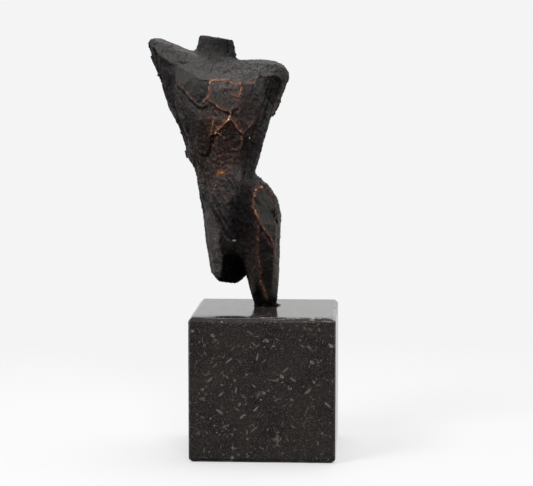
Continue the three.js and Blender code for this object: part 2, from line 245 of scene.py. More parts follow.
# Crests that drop away on one side: the way down, and how far below the crest's foot lies.
STEPS = {
    "pec left low": (-0.4, -1.5, 0.7), "sternum low": (-0.5, -1.5, 0.6),
    "arch right": (-1.3, -0.8, 0.5), "hip plane left": (-1.5, 0.0, 0.5),
    "hip plane low": (-1.1, -0.9, 0.6), "pec right low": (1.1, -1.1, 0.5),
    "epigastric edge": (1.5, -0.3, 0.5), "sternum left": (-1.4, 0.2, 0.4),
    "keel": (1.0, -1.0, 0.5), "groin": (1.3, 0.9, 1.0),
    "shin": (-1.3, -0.3, 0.5), "thigh right": (1.3, 0.0, 0.3), "stump rim": (1.6, 0.3, 0.9),
}

# Where the knife planes of the front run out into the rest.
FRONT_RIM = [
    (-80, 184.5), (-73.5, 182), (-67.5, 179.5), (-60.5, 175.5), (-52, 171), (-45, 167.5),
    (-36.5, 165.5), (-27.5, 164.5), (-18.5, 166), (-10.5, 167.5), (-2, 169), (6.5, 167.5),
    (12, 164.5), (13, 159), (12.5, 152), (9, 146.5), (4.5, 138.5), (0.5, 133), (-2, 126),
    (-5, 119), (-7, 111), (-9, 102.5), (-10.5, 95.5), (-10.5, 90), (-7, 88), (-2.5, 87),
    (1.5, 84), (5, 79), (8, 73), (9, 67.5), (8.5, 60.5), (8.5, 47.5), (8, 35), (7, 23),
    (5.5, 10.5), (4, 3.5), (0, 3), (-6, 2.5), (-8.5, 8), (-10.5, 17), (-13, 25), (-14.5, 32),
    (-16, 40), (-18.5, 45), (-22.5, 46.5), (-27, 44), (-28.5, 37.5), (-29, 30), (-31.5, 23.5),
    (-36.5, 22), (-37, 27.5), (-38, 33), (-39.5, 41), (-41, 49), (-41.5, 58.5), (-42, 67.5),
    (-43.5, 74.5), (-44.5, 83), (-47, 91), (-50, 98), (-52.5, 106.5), (-53.5, 116.5),
    (-53.5, 126), (-56.5, 132.5), (-60, 138.5), (-64, 146.5), (-66.5, 152), (-69.5, 159),
    (-73.5, 168.5), (-77, 176.5), (-80.5, 182),
]


# ------------------------------------------------------------------ node maths
class Field:
    """A socket in a shader or geometry tree. Arithmetic on it adds Math nodes."""

    def __init__(self, nodes, socket):
        self.nodes, self.socket = nodes, socket

    def _maths(self, operation, *values):
        return self.nodes.add("ShaderNodeMath", {"operation": operation}, dict(enumerate(values)), 0)

    def __add__(self, other):
        return self._maths("ADD", self, other)

    def __sub__(self, other):
        return self._maths("SUBTRACT", self, other)

    def __rsub__(self, other):
        return self._maths("SUBTRACT", other, self)

    def __mul__(self, other):
        return self._maths("MULTIPLY", self, other)

    def __truediv__(self, other):
        return self._maths("DIVIDE", self, other)

    def __rtruediv__(self, other):
        return self._maths("DIVIDE", other, self)

    def __neg__(self):
        return self._maths("MULTIPLY", self, -1.0)

    __radd__, __rmul__ = __add__, __mul__

    def low(self, other):
        return self._maths("MINIMUM", self, other)

    def high(self, other):
        return self._maths("MAXIMUM", self, other)

    def size(self):
        return self._maths("ABSOLUTE", self)

    def falling(self):
        """1 where this is nought, dying away as it grows."""
        return self._maths("EXPONENT", -self)

    def bell(self, width):
        """1 where this is nought, dying away over width on both sides."""
        part = self / width
        return (part * part).falling()

    def ease(self, start, end):
        """0 up to start, 1 past end, with a smooth turn between."""
        return self.nodes.add(
            "ShaderNodeMapRange", {"interpolation_type": "SMOOTHSTEP"},
            {"Value": self, "From Min": start, "From Max": end}, 0,
        )


def patch(x, z, centre, reach):
    """1 at a centre (x, height above the plinth) and dying away over reach."""
    dx = (x - centre[0] * MM) / (reach[0] * MM)
    dz = (z - (centre[1] + PLINTH_TOP) * MM) / (reach[1] * MM)
    return (dx * dx + dz * dz).falling()


class Nodes:
    """A node tree. Every node but a Math node comes from add."""

    def __init__(self, tree):
        self.tree = tree

    def add(self, kind, settings=None, inputs=None, output=None):
        """Makes a node: its type, settings, socket values or links, and which output is wanted."""
        node = self.tree.nodes.new(kind)
        for name, value in (settings or {}).items():
            setattr(node, name, value)
        for key, value in (inputs or {}).items():
            if isinstance(value, Field):
                self.tree.links.new(value.socket, node.inputs[key])
            else:
                node.inputs[key].default_value = value
        return node if output is None else Field(self, node.outputs[output])

    def vector(self, operation, *values):
        wanted = "Value" if operation in ("DOT_PRODUCT", "LENGTH", "DISTANCE") else "Vector"
        return self.add(
            "ShaderNodeVectorMath", {"operation": operation}, dict(enumerate(values)), wanted)

    def scaled(self, vector, factor):
        return self.add("ShaderNodeVectorMath", {"operation": "SCALE"}, {0: vector, "Scale": factor}, 0)

    def axes(self, vector):
        node = self.add("ShaderNodeSeparateXYZ", inputs={0: vector})
        return [Field(self, socket) for socket in node.outputs]

    def noise(self, vector, size, detail=3.0, rough=0.55, seed=0.0):
        """Noise from 0 to 1 with features of the given size in millimetres."""
        return self.add(
            "ShaderNodeTexNoise", {"noise_dimensions": "4D"},
            {"Vector": vector, "W": seed, "Scale": 1 / (size * MM), "Detail": detail,
             "Roughness": rough}, 0,
        )

    def ramp(self, factor, *stops, ease="LINEAR"):
        """A colour ramp through (place, grey or colour) stops."""
        node = self.add("ShaderNodeValToRGB", inputs={"Fac": factor})
        band = node.color_ramp
        band.interpolation = ease
        while len(band.elements) < len(stops):
            band.elements.new(0.5)
        for element, (place, colour) in zip(band.elements, stops):
            element.position = place
            element.color = (*colour, 1) if isinstance(colour, tuple) else (colour,) * 3 + (1,)
        return Field(self, node.outputs["Color"])

    def blend(self, factor, a, b, mode="MIX"):
        """Colour a turning into colour b."""
        a, b = [(*c, 1) if isinstance(c, tuple) else c for c in (a, b)]
        return self.add(
            "ShaderNodeMix", {"data_type": "RGBA", "blend_type": mode}, {0: factor, 6: a, 7: b}, 2,
        )


def new_material(name):
    """A material with its nodes and its surface shader."""
    made = bpy.data.materials.new(name)
    made.use_nodes = True
    return made, Nodes(made.node_tree), made.node_tree.nodes["Principled BSDF"]


def dress(nodes, shader, **inputs):
    """Sets the shader's sockets, from values or fields."""
    for key, value in inputs.items():
        socket = shader.inputs[key.replace("_", " ")]
        if isinstance(value, Field):
            nodes.tree.links.new(value.socket, socket)
        else:
            socket.default_value = (*value, 1) if isinstance(value, tuple) else value


# ------------------------------------------------------------------ meshes
def in_scene(name, mesh):
    thing = bpy.data.objects.new(name, mesh)
    bpy.context.scene.collection.objects.link(thing)
    return thing


def settled(thing):
    """The mesh that an object's modifiers give, as a plain mesh."""
    return bpy.data.meshes.new_from_object(thing.evaluated_get(bpy.context.evaluated_depsgraph_get()))


def vertex_array(mesh, what="co"):
    """Each vertex's place or normal, one row each."""
    values = np.empty(3 * len(mesh.vertices))
    mesh.vertices.foreach_get(what, values)
    return values.reshape(-1, 3)


def merged_copy(node):
    """The solid's mesh as one closed skin."""
    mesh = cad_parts[node].data.copy()
    bm = bmesh.new()
    bm.from_mesh(mesh)
    bmesh.ops.remove_doubles(bm, verts=bm.verts, dist=0.01 * MM)
    bm.to_mesh(mesh)
    bm.free()
    return mesh


def fine_skin():
    """The torso's solid as an even grid, fine enough for the relief."""
    holder = in_scene("fine skin", merged_copy("torso"))
    remesh = holder.modifiers.new("grid", "REMESH")
    remesh.mode = "VOXEL"
    remesh.voxel_size = SKIN_CELL * MM
    smooth = holder.modifiers.new("even out", "SMOOTH")
    smooth.factor = 0.5
    smooth.iterations = 10
    mesh = settled(holder)
    bpy.data.objects.remove(holder)
    spots = vertex_array(mesh)
    across, up = spots[:, 0] / MM, spots[:, 2] / MM - PLINTH_TOP
    sawn = np.interp(across, *zip(*SAWN))
    stump = (across < SAWN[-1][0]) & (up < sawn)
    spots[stump, 2] = (PLINTH_TOP + sawn[stump]) * MM
    mesh.vertices.foreach_set("co", spots.ravel())
    return mesh


def facets_behind(skin):
    """A coarse copy of the skin, whose flat triangles are the facets of flanks and back."""
    holder = in_scene("coarse skin", skin.copy())
    thin = holder.modifiers.new("coarsen", "DECIMATE")
    thin.ratio = FACETS_BEHIND / (2 * len(skin.polygons))
    thin.use_collapse_triangulate = True
    mesh = settled(holder)
    bpy.data.objects.remove(holder)
    return mesh


def front_planes(skin):
    """The knife planes of the front as a mesh, and their crests as a mesh of edges."""
    bm = bmesh.new()
    bm.from_mesh(skin)
    tree = BVHTree.FromBMesh(bm)
    bm.free()

    places, heights, ends, owner = [], [], [], []
    index = {}

    def corner(point, height):
        if point not in index:
            index[point] = len(places)
            places.append(Vector(point))
            heights.append(height)
        return index[point]

    rim = [corner(point, 0.0) for point in FRONT_RIM]
    ends += [(a, b) for a, b in zip(rim, rim[1:] + rim[:1])]
    owner += [None] * len(rim)
    for name, (height, _, course) in CRESTS.items():
        line = [corner(point, CORNERS.get(point, height)) for point in course]
        ends += list(zip(line, line[1:]))
        owner += [name] * (len(line) - 1)
    for name, (dx, dz, drop) in STEPS.items():
        line = [corner((x + dx, z + dz), -drop) for x, z in CRESTS[name][2]]
        ends += list(zip(line, line[1:]))
        owner += [None] * (len(line) - 1)
    flat, edges, faces, came_from, edges_from, _ = delaunay_2d_cdt(places, ends, [], 1, 1e-4)

    corners, inner = [], []
    for spot, sources in zip(flat, came_from):
        height = heights[sources[0]] if sources else 0.3
        inner.append(0.0 if sources and sources[0] < len(rim) else 1.0)
        x, z = spot.x * MM, (spot.y + PLINTH_TOP) * MM
        hit = tree.ray_cast(Vector((x, -0.2, z)), Vector((0, 1, 0)))[0]
        if hit is None:
            hit = tree.find_nearest(Vector((x, 0, z)))[0]
        corners.append(Vector((x, hit.y - height * MM, z)))

    planes = bpy.data.meshes.new("front planes")
    planes.from_pydata(corners, [], faces)
    planes.attributes.new("inner", "FLOAT", "POINT").data.foreach_set("value", inner)

    lines = [(pair, owner[source[0]]) for pair, source in zip(edges, edges_from)
             if source and source[0] < len(owner) and owner[source[0]]]
    crests = bpy.data.meshes.new("crests")
    crests.from_pydata(corners, [pair for pair, _ in lines], [])
    for label, place in (("rise", 0), ("rub", 1)):
        values = [CRESTS[name][place] for _, name in lines]
        crests.attributes.new(label, "FLOAT", "EDGE").data.foreach_set("value", values)
    return planes, crests


def add_painted_light(mesh):
    """Gives each vertex its plane's painted light and shade (below nought, painted shade) as the
    attribute "tone".
    """
    spots, normals = vertex_array(mesh), vertex_array(mesh, "normal")
    flat = np.column_stack((spots[:, 0] / MM, spots[:, 2] / MM - PLINTH_TOP))
    painted_light = np.zeros(len(flat))
    for amount, softness, outline in PAINTED_LIGHT_PLANES.values():
        ends = np.array(outline, float)
        inside = np.zeros(len(flat), bool)
        nearest = np.full(len(flat), 1e9)
        for a, b in zip(ends, np.roll(ends, -1, axis=0)):
            along = b - a
            share = np.clip((flat - a) @ along / (along @ along), 0, 1)
            nearest = np.minimum(nearest, np.hypot(*(flat - a - share[:, None] * along).T))
            between = (a[1] > flat[:, 1]) != (b[1] > flat[:, 1])
            rise = along[1] if along[1] else 1.0
            inside ^= between & (flat[:, 0] < a[0] + along[0] * (flat[:, 1] - a[1]) / rise)
        depth = np.where(inside, nearest, -nearest)
        painted_light += amount * np.clip(depth / softness + 0.5, 0, 1)
    # Only surfaces that face the front take this painted light and shade.
    painted_light *= np.clip((0.1 - normals[:, 1]) / 0.3, 0, 1)
    mesh.attributes.new("painted_light", "FLOAT", "POINT").data.foreach_set("value", painted_light)


# ------------------------------------------------------------------ worked bronze
# The figure's middle line and half width, as (height above the plinth, millimetres).
MIDDLE = [(0, -6), (60, -16), (90, -28), (190, -28)]
HALF_WIDTH = [(0, 20), (60, 25), (90, 19), (120, 24), (140, 32), (165, 42), (190, 46)]


def flowing(nodes, place):
    """Coordinates that run down the figure and draw together at the waist, for streaks."""
    x, y, z = nodes.axes(place)
    share = (z / MM - PLINTH_TOP) / TORSO_HEIGHT

    def along(stops):
        # A ramp holds 0 to 1, so values from -60 to 60 are squeezed into it and drawn out again.
        lift, span = 60, 120
        squeezed = [(h / TORSO_HEIGHT, (v + lift) / span) for h, v in stops]
        return nodes.ramp(share, *squeezed) * span - lift

    across = (x / MM - along(MIDDLE)) / along(HALF_WIDTH) * (26 * MM)
    return nodes.add("ShaderNodeCombineXYZ", {}, {0: across, 1: y, 2: z * 0.13}, 0)


def worked_bronze_tree():
    """The tree that turns the smooth skin into hand-worked bronze."""
    tree = bpy.data.node_groups.new("worked bronze", "GeometryNodeTree")
    nodes = Nodes(tree)
    sockets = {}
    for name, kind in (
        ("Geometry", "Geometry"), ("Front planes", "Object"), ("Crests", "Object"),
        ("Facets", "Object"), ("Flatness in front", "Float"), ("Flatness behind", "Float"),
        ("Burr width", "Float"), ("Strip depth", "Float"), ("Streak depth", "Float"),
        ("Crease depth", "Float"), ("Grain depth", "Float"), ("Pit depth", "Float"),
        ("Seed", "Float"), ("Bronze", "Material"),
    ):
        sockets[name] = tree.interface.new_socket(name, in_out="INPUT", socket_type="NodeSocket" + kind)
    tree.interface.new_socket("Geometry", in_out="OUTPUT", socket_type="NodeSocketGeometry")
    start = nodes.add("NodeGroupInput")
    given = {name: Field(nodes, start.outputs[name]) for name in sockets}

    def shape_of(name):
        return nodes.add("GeometryNodeObjectInfo", {}, {"Object": given[name]}, "Geometry")

    def named(name):
        return nodes.add("GeometryNodeInputNamedAttribute", {"data_type": "FLOAT"}, {"Name": name}, 0)

    def moved(geometry, offset):
        return nodes.add("GeometryNodeSetPosition", {}, {"Geometry": geometry, "Offset": offset}, 0)

    def stored(geometry, name, value):
        return nodes.add(
            "GeometryNodeStoreNamedAttribute", {"data_type": "FLOAT", "domain": "POINT"},
            {"Geometry": geometry, "Name": name, "Value": value}, 0,
        )

    place = nodes.add("GeometryNodeInputPosition", output="Position")
    normal = nodes.add("GeometryNodeInputNormal", output="Normal")
    x, y, z = nodes.axes(place)
    across, outward, upward = nodes.axes(normal)

    # Knife planes in front: each point slides along Y onto the plane in front of it.
    planes = shape_of("Front planes")
    from_front = nodes.vector("ADD", nodes.vector("MULTIPLY", place, (1, 0, 1)), (0, -0.1, 0))
    ray = nodes.add(
        "GeometryNodeRaycast", {"data_type": "FLOAT", "mapping": "INTERPOLATED"},
        {"Target Geometry": planes, "Attribute": named("inner"), "Source Position": from_front,
         "Ray Direction": (0, 1, 0), "Ray Length": 0.2},
    )
    struck, met, inner = [
        Field(nodes, ray.outputs[name]) for name in ("Is Hit", "Hit Position", "Attribute")]
    to_plane = nodes.vector("SUBTRACT", met, place)
    reach = nodes.vector("LENGTH", to_plane)
    front = struck * (-outward).ease(0.2, 0.5) * inner.ease(0.0, 0.35)
    front = front * (1 - reach.ease(2.5 * MM, 4.5 * MM))

    # Facets elsewhere: each point moves part of the way to the coarse copy, but not on the neck.
    above_collar = z.ease((PLINTH_TOP + 168) * MM, (PLINTH_TOP + 175) * MM)
    facet = nodes.add("GeometryNodeProximity", {"target_element": "FACES"},
                      {"Geometry": shape_of("Facets"), "Sample Position": place})
    to_facet = nodes.vector("SUBTRACT", Field(nodes, facet.outputs["Position"]), place)
    shift = nodes.vector(
        "ADD", nodes.scaled(to_plane, front * given["Flatness in front"]),
        nodes.scaled(to_facet, (1 - front) * given["Flatness behind"] * (1 - above_collar)),
    )
    geometry = moved(stored(given["Geometry"], "front", front), shift)

    # Burrs along the crests.
    crests = shape_of("Crests")
    seed = given["Seed"]
    waver = nodes.add("ShaderNodeTexNoise", {"noise_dimensions": "4D"},
                      {"Vector": place, "W": seed + 21, "Scale": 1 / (3.5 * MM), "Detail": 2.0}, "Color")
    waver = nodes.scaled(nodes.vector("SUBTRACT", waver, (0.5, 0.5, 0.5)), 2.6 * MM)
    wavering = nodes.vector("ADD", place, waver)
    close = nodes.add("GeometryNodeProximity", {"target_element": "EDGES"},
                      {"Geometry": crests, "Sample Position": wavering})
    away = Field(nodes, close.outputs["Distance"])
    nearest = nodes.add("GeometryNodeSampleNearest", {"domain": "EDGE"},
                        {"Geometry": crests, "Sample Position": wavering}, 0)

    def of_crest(name):
        return nodes.add(
            "GeometryNodeSampleIndex", {"data_type": "FLOAT", "domain": "EDGE"},
            {"Geometry": crests, "Value": named(name), "Index": nearest}, 0,
        )

    broken = nodes.noise(place, 3.4, 4, 0.65, seed).ease(0.36, 0.62)
    worn = nodes.noise(place, 1.5, 3, 0.6, seed + 1).ease(0.35, 0.65)
    rise, rub = of_crest("rise"), of_crest("rub")
    width = given["Burr width"] * (0.8 + 0.5 * rise.size()) * (0.7 + 0.6 * worn)
    rise = rise * away.bell(width * MM) * (0.3 + 0.7 * broken)
    rubbed = rub * away.bell(width * (1.1 * MM)) * (0.45 + 0.55 * broken)
    halo = rub * away.bell(2.8 * MM)

    # Marks of the tool: strips and streaks that run down the figure, grain, and pits.
    flow = flowing(nodes, place)
    side = across.size().ease(0.3, 0.75)
    streaks = nodes.noise(flow, 2.0, 3, 0.6, seed + 3) - 0.5
    creases = 1 - streaks.size().ease(0.0, 0.035)
    strip = nodes.add(
        "ShaderNodeTexVoronoi", {"voronoi_dimensions": "4D"},
        {"Vector": flow, "W": seed, "Scale": 1 / (3.4 * MM), "Randomness": 1.0})
    tint, centre = Field(nodes, strip.outputs["Color"]), Field(nodes, strip.outputs["Position"])
    lean = nodes.vector("SUBTRACT", tint, (0.5, 0.5, 0.5))
    slabs = nodes.vector("DOT_PRODUCT", nodes.vector("SUBTRACT", flow, centre), lean) / MM
    trunk = z.ease((PLINTH_TOP + 55) * MM, (PLINTH_TOP + 90) * MM)
    strips = (slabs * 0.9 + (nodes.axes(tint)[0] - 0.5) * 0.7) * (0.3 + 0.7 * trunk)
    slant = nodes.add("ShaderNodeCombineXYZ", {}, {
        0: x * 0.83 + z * 0.555, 1: y * 0.3, 2: (x * 0.555 - z * 0.83) * 0.14}, 0)
    strokes = nodes.noise(slant, 2.1, 2, 0.55, seed + 11) - 0.5
    grain = nodes.noise(nodes.vector("MULTIPLY", place, (1, 1, 0.6)), 1.5, 4, 0.7, seed + 5) - 0.5
    pits = nodes.noise(place, 1.8, 2, 0.5, seed + 9).ease(0.66, 0.76)

    near = partial(patch, x, z)
    calm = (
        near((0.5, 68), (7, 16)) + near((-50, 158), (11, 9)) + near((-32, 163), (30, 5)) * 0.6
        + near((-38, 58), (4, 12)) * 0.7 + near((9.5, 40), (2.5, 24)) * 0.8)
    coarse = near((-27, 149), (11, 10)) + near((-30, 108), (14, 24))
    slanting = (near((-28, 68), (10, 15)) * 1.3).low(1.0) * front
    marks = (
        streaks * given["Streak depth"] * (0.35 + 0.65 * side)
        + strips * given["Strip depth"] * (0.25 + 0.75 * side)
        + grain * given["Grain depth"] * (1 + 0.8 * coarse * front)
        - creases * given["Crease depth"] * (0.5 + 0.5 * side)
        - pits * given["Pit depth"]
        + (strokes * 2.4 - (1 - strokes.size().ease(0.0, 0.04)) * 0.35) * slanting
    ) * (1 - 0.75 * (calm * front).low(1.0))
    geometry = stored(stored(geometry, "rubbed", rubbed), "halo", halo)
    geometry = moved(geometry, nodes.scaled(normal, (rise * 0.8 + marks) * MM))

    # The ragged skirt where the foot was fixed down.
    low_down = (z - PLINTH_TOP * MM).high(0.0) / MM
    ragged = nodes.noise(place, 2.4, 3, 0.6, seed + 15).ease(0.45, 0.7)
    skirt = (low_down / 0.9).bell(1.0) * ragged * 3.2
    skirt = skirt + (low_down / 5).falling() * (ragged - 0.4) * 1.1
    sideways = nodes.vector("MULTIPLY", normal, (1, 1, 0))
    geometry = moved(geometry, nodes.scaled(sideways, skirt * MM))

    # How proud each point stands of the shape around it, in millimetres.
    around = nodes.add("GeometryNodeBlurAttribute", {"data_type": "FLOAT_VECTOR"},
                       {"Value": place, "Iterations": 6}, 0)
    proud = nodes.vector("DOT_PRODUCT", normal, nodes.vector("SUBTRACT", place, around)) / MM
    geometry = stored(geometry, "proud", proud)

    geometry = nodes.add("GeometryNodeSetShadeSmooth", {}, {"Geometry": geometry}, 0)
    geometry = nodes.add("GeometryNodeRealizeInstances", {}, {"Geometry": geometry}, 0)
    geometry = nodes.add("GeometryNodeSetMaterial", {},
                         {"Geometry": geometry, "Material": given["Bronze"]}, 0)
    nodes.add("NodeGroupOutput", {}, {"Geometry": geometry})
    return tree, {name: socket.identifier for name, socket in sockets.items()}


def bronze():
    made, nodes, shader = new_material("patinated bronze")
    place = nodes.add("ShaderNodeTexCoord", output="Object")
    x, _, z = nodes.axes(place)

    def attribute(name):
        return nodes.add("ShaderNodeAttribute", {"attribute_name": name}, {}, "Fac")

    proud, rubbed, front = attribute("proud"), attribute("rubbed"), attribute("front")
    painted_light, halo = attribute("painted_light"), attribute("halo")
    # Painted light and shade of the front planes: light lightens the colour, painted shade sinks it to
    # near black.
    light, painted_plane_shade = painted_light.high(0.0).low(1.0), (-painted_light).high(0.0).low(1.0)
    # Painted sheen: above 1 a plane turns a lighter grey and more metallic, a painted reflection.
    painted_sheen = (painted_light - 1).high(0.0).low(1.0)

    around = partial(patch, x, z)
    cloud = nodes.noise(place, 14, 4, 0.6)
    mottle = nodes.noise(place, 2.6, 4, 0.65, 2.0)
    speckle = nodes.noise(place, 1.0, 3, 0.65, 4.0)
    drawn = nodes.noise(flowing(nodes, place), 1.6, 4, 0.65)

    patina = nodes.blend(cloud.ease(0.35, 0.65), (0.0095, 0.0085, 0.0085), (0.018, 0.0155, 0.0145))
    patina = nodes.blend(mottle.ease(0.5, 0.72) * 0.7, patina, (0.036, 0.030, 0.026))
    patina = nodes.blend(drawn.ease(0.55, 0.75) * 0.45, patina, (0.045, 0.042, 0.038))
    green = around((-22, 184), (14, 7)) + around((-52, 173), (9, 5)) + around((1, 68), (8, 15))
    patina = nodes.blend(green.low(1.0) * 0.45, patina, (0.030, 0.031, 0.023))
    belly = (
        around((-30, 110), (15, 24)) + around((-34, 132), (9, 9)) * 0.8
        + around((-15, 132), (9, 14)) * 0.4 + around((-7, 48), (7, 18)) * 0.6)
    blotch = nodes.noise(place, 2.4, 4, 0.7, 6.0)
    rust = belly.low(1.0) * (0.35 + 0.65 * front) * blotch.ease(0.42, 0.6)
    rust = rust.high((halo * 0.75).ease(0.15, 0.6) * blotch.ease(0.42, 0.58))
    patina = nodes.blend(rust * 0.85, patina, (0.085, 0.027, 0.013))
    pitch = belly.low(1.0) * front * nodes.noise(place, 2.0, 4, 0.7, 12.0).ease(0.46, 0.58)
    patina = nodes.blend(pitch * 0.8, patina, (0.004, 0.003, 0.003))
    dust = (around((-27, 149), (12, 11)) + around((-30, 104), (12, 18)) * 0.6).low(1.0)
    dust = dust * front * speckle.ease(0.5, 0.7)
    patina = nodes.blend(dust * 0.6, patina, (0.10, 0.074, 0.060))

    # Painted shade: patches darkened to near black on the foot, between the legs, on the right flank,
    # the neck, the pelvis, the standing thigh, the shoulder cut and the armpit.
    painted_shade_patches = (
        around((-1, 3), (11, 9)) * 1.2 + around((-21, 60), (5, 16)) * 0.7
        + around((-11, 104), (6, 22)) * 0.6 + around((-26, 184), (13, 11)) * 0.85
        + around((-27, 66), (14, 20)) * 0.55 + around((0, 30), (8, 18)) * 0.35
        + around((6, 152), (6, 9)) * 0.6 + around((-66, 160), (7, 12)) * 0.5
    ).low(1.0)
    # Painted light, painted sheen and painted shade laid into the patina's colour.
    patina = nodes.blend(light * 0.6 * (0.5 + mottle), patina, (0.070, 0.058, 0.053))
    patina = nodes.blend(painted_sheen * (0.2 + 0.9 * drawn), patina, (0.150, 0.137, 0.132))
    patina = nodes.blend(painted_shade_patches * 0.85, patina, (0.0022, 0.0020, 0.0022))
    patina = nodes.blend(painted_plane_shade * 0.8, patina, (0.0022, 0.0018, 0.0018))
    # Painted glints: three small light grey spots on the front, by the collar, on the right flank and at
    # the top of the hollow.
    pale = (
        around((-30, 166.5), (0.7, 0.5)) + around((-10.5, 119.5), (0.5, 0.8))
        + around((-21, 48.5), (1.2, 0.7))).ease(0.3, 0.6) * front
    hot = around((-30.5, 95.5), (4.0, 2.1)) * front * speckle.ease(0.42, 0.56)
    edges = proud.ease(0.04, 0.24) * (0.3 + 0.3 * front)
    edges = edges * mottle.ease(0.46, 0.62) * cloud.ease(0.38, 0.58)
    lines = (rubbed * 1.2 + (speckle - 0.5) * 0.5 + (mottle - 0.5) * 0.5).ease(0.30, 0.80)
    dusting = (halo * (speckle * 1.2 + mottle - 0.6)).ease(0.14, 0.40) * 0.35
    wear = (edges * (1 - 0.8 * painted_shade_patches)).high(lines).high(dusting * (1 - 0.5 * painted_plane_shade)).high(hot)
    copper = nodes.blend(
        (speckle * 0.8 + rubbed * 0.45).ease(0.45, 0.85), (0.24, 0.090, 0.050), (0.72, 0.40, 0.25))
    copper = nodes.blend(hot, copper, (0.6, 0.26, 0.05))
    colour = nodes.blend(pale, nodes.blend(wear * 0.85, patina, copper), (0.45, 0.43, 0.38))
    shade = 1 - (-proud).ease(0.02, 0.28) * 0.85
    dark = nodes.add("ShaderNodeCombineColor", {}, {0: shade, 1: shade, 2: shade}, 0)
    colour = nodes.blend(1.0, colour, dark, "MULTIPLY")

    fine = drawn * 0.5 + speckle * 0.6 + nodes.noise(place, 0.45, 2, 0.5, 3.0) * 0.4
    bump = nodes.add("ShaderNodeBump", {}, {"Strength": 1.0, "Distance": 0.5 * MM, "Height": fine}, 0)
    # Metallic where copper is worn bare, in the painted shade of the planes and under the painted sheen.
    metal = (wear * 0.75).high(painted_plane_shade * 0.85).high(painted_sheen * 0.8)
    rough = 0.25 + speckle * 0.25 + mottle * 0.08 - wear * 0.05 + painted_shade_patches * 0.2
    dress(
        nodes, shader, Base_Color=colour, Metallic=metal, Roughness=rough, Normal=bump,
        Specular_IOR_Level=0.4,
    )
    return made


def show(name, mesh, stands_for):
    piece = in_scene(name, mesh)
    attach(piece, "root")
    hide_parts(stands_for)
    return piece


def make_torso():
    skin = fine_skin()
    planes, crests = front_planes(skin)
    helpers = {
        "Front planes": in_scene("front planes", planes),
        "Crests": in_scene("crests", crests),
        "Facets": in_scene("facets", facets_behind(skin)),
    }
    settings = {
        "Flatness in front": 0.92, "Flatness behind": 0.8, "Burr width": 0.6,
        "Strip depth": 1.2, "Streak depth": 1.7, "Crease depth": 0.4, "Grain depth": 1.9,
        "Pit depth": 0.6, "Seed": float(SEED), "Bronze": bronze(),
    }
    tree, identifiers = worked_bronze_tree()
    worked = in_scene("working torso", skin)
    relief = worked.modifiers.new("worked bronze", "NODES")
    relief.node_group = tree
    for name, value in {**helpers, **settings}.items():
        relief[identifiers[name]] = value
    thin = worked.modifiers.new("thin where flat", "DECIMATE")
    thin.ratio = TORSO_TRIANGLES / (2 * len(skin.polygons))
    mesh = settled(worked)
    for thing in (worked, *helpers.values()):
        bpy.data.objects.remove(thing)
    lowest, highest = (np.array(corner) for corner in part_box("torso"))
    mesh.vertices.foreach_set("co", np.clip(vertex_array(mesh), lowest, highest).ravel())
    mesh.update()
    add_painted_light(mesh)
    return show("bronze_torso", mesh, "torso")


def cut_block(low, high, chamfer):
    """A block whose edges are cut off by hand: each chamfer wavers and is chipped here and there."""
    low, high = Vector(low), Vector(high)
    middle, half = (low + high) / 2, (high - low) / 2
    # More grid lines near the edges, where the chamfers are.
    ticks = [math.sin(math.pi / 2 * (2 * i / PLINTH_CELLS - 1)) for i in range(PLINTH_CELLS + 1)]
    bm = bmesh.new()
    for axis in range(3):
        for sign in (-1, 1):
            grid = []
            for u in ticks:
                row = []
                for v in ticks:
                    point = [0.0, 0.0, 0.0]
                    point[axis], point[axis - 2], point[axis - 1] = float(sign), u, v
                    row.append(bm.verts.new([p * h for p, h in zip(point, half)]))
                grid.append(row)
            for a, b in zip(grid, grid[1:]):
                for corners in zip(a, b, b[1:], a[1:]):
                    bm.faces.new(corners if sign > 0 else corners[::-1])
    bmesh.ops.remove_doubles(bm, verts=bm.verts, dist=0.001 * MM)
    for vert in bm.verts:
        place = vert.co + middle
        waver = noise.noise(place / (9 * MM)) + 0.5 * noise.noise(place / (3.5 * MM))
        chip = max(0.0, noise.noise(place / (2.4 * MM) + Vector((9, 4, 1))) - 0.38)
        for _ in range(2):
            for first, second in ((0, 1), (1, 2), (0, 2)):
                width = chamfer if second == 2 else 0.4 * chamfer
                width += (0.35 * waver + 1.1 * chip) * MM
                out = [abs(vert.co[k]) - half[k] for k in (first, second)]
                over = sum(out) + width
                if over > 0:
                    for k in (first, second):
                        vert.co[k] -= math.copysign(over / 2, vert.co[k])
        # The front upper edge is worn down a little, left of the middle.
        if vert.co.z > 0:
            worn = math.exp(-((vert.co.x + 22 * MM) / (20 * MM)) ** 2)
            worn *= math.exp(-((vert.co.y + half.y) / (6 * MM)) ** 2)
            vert.co.z -= 1.1 * MM * worn
    bmesh.ops.translate(bm, verts=bm.verts, vec=middle)
    mesh = bpy.data.meshes.new("cut block")
    bm.to_mesh(mesh)
    bm.free()
    mesh.shade_smooth()
    return mesh


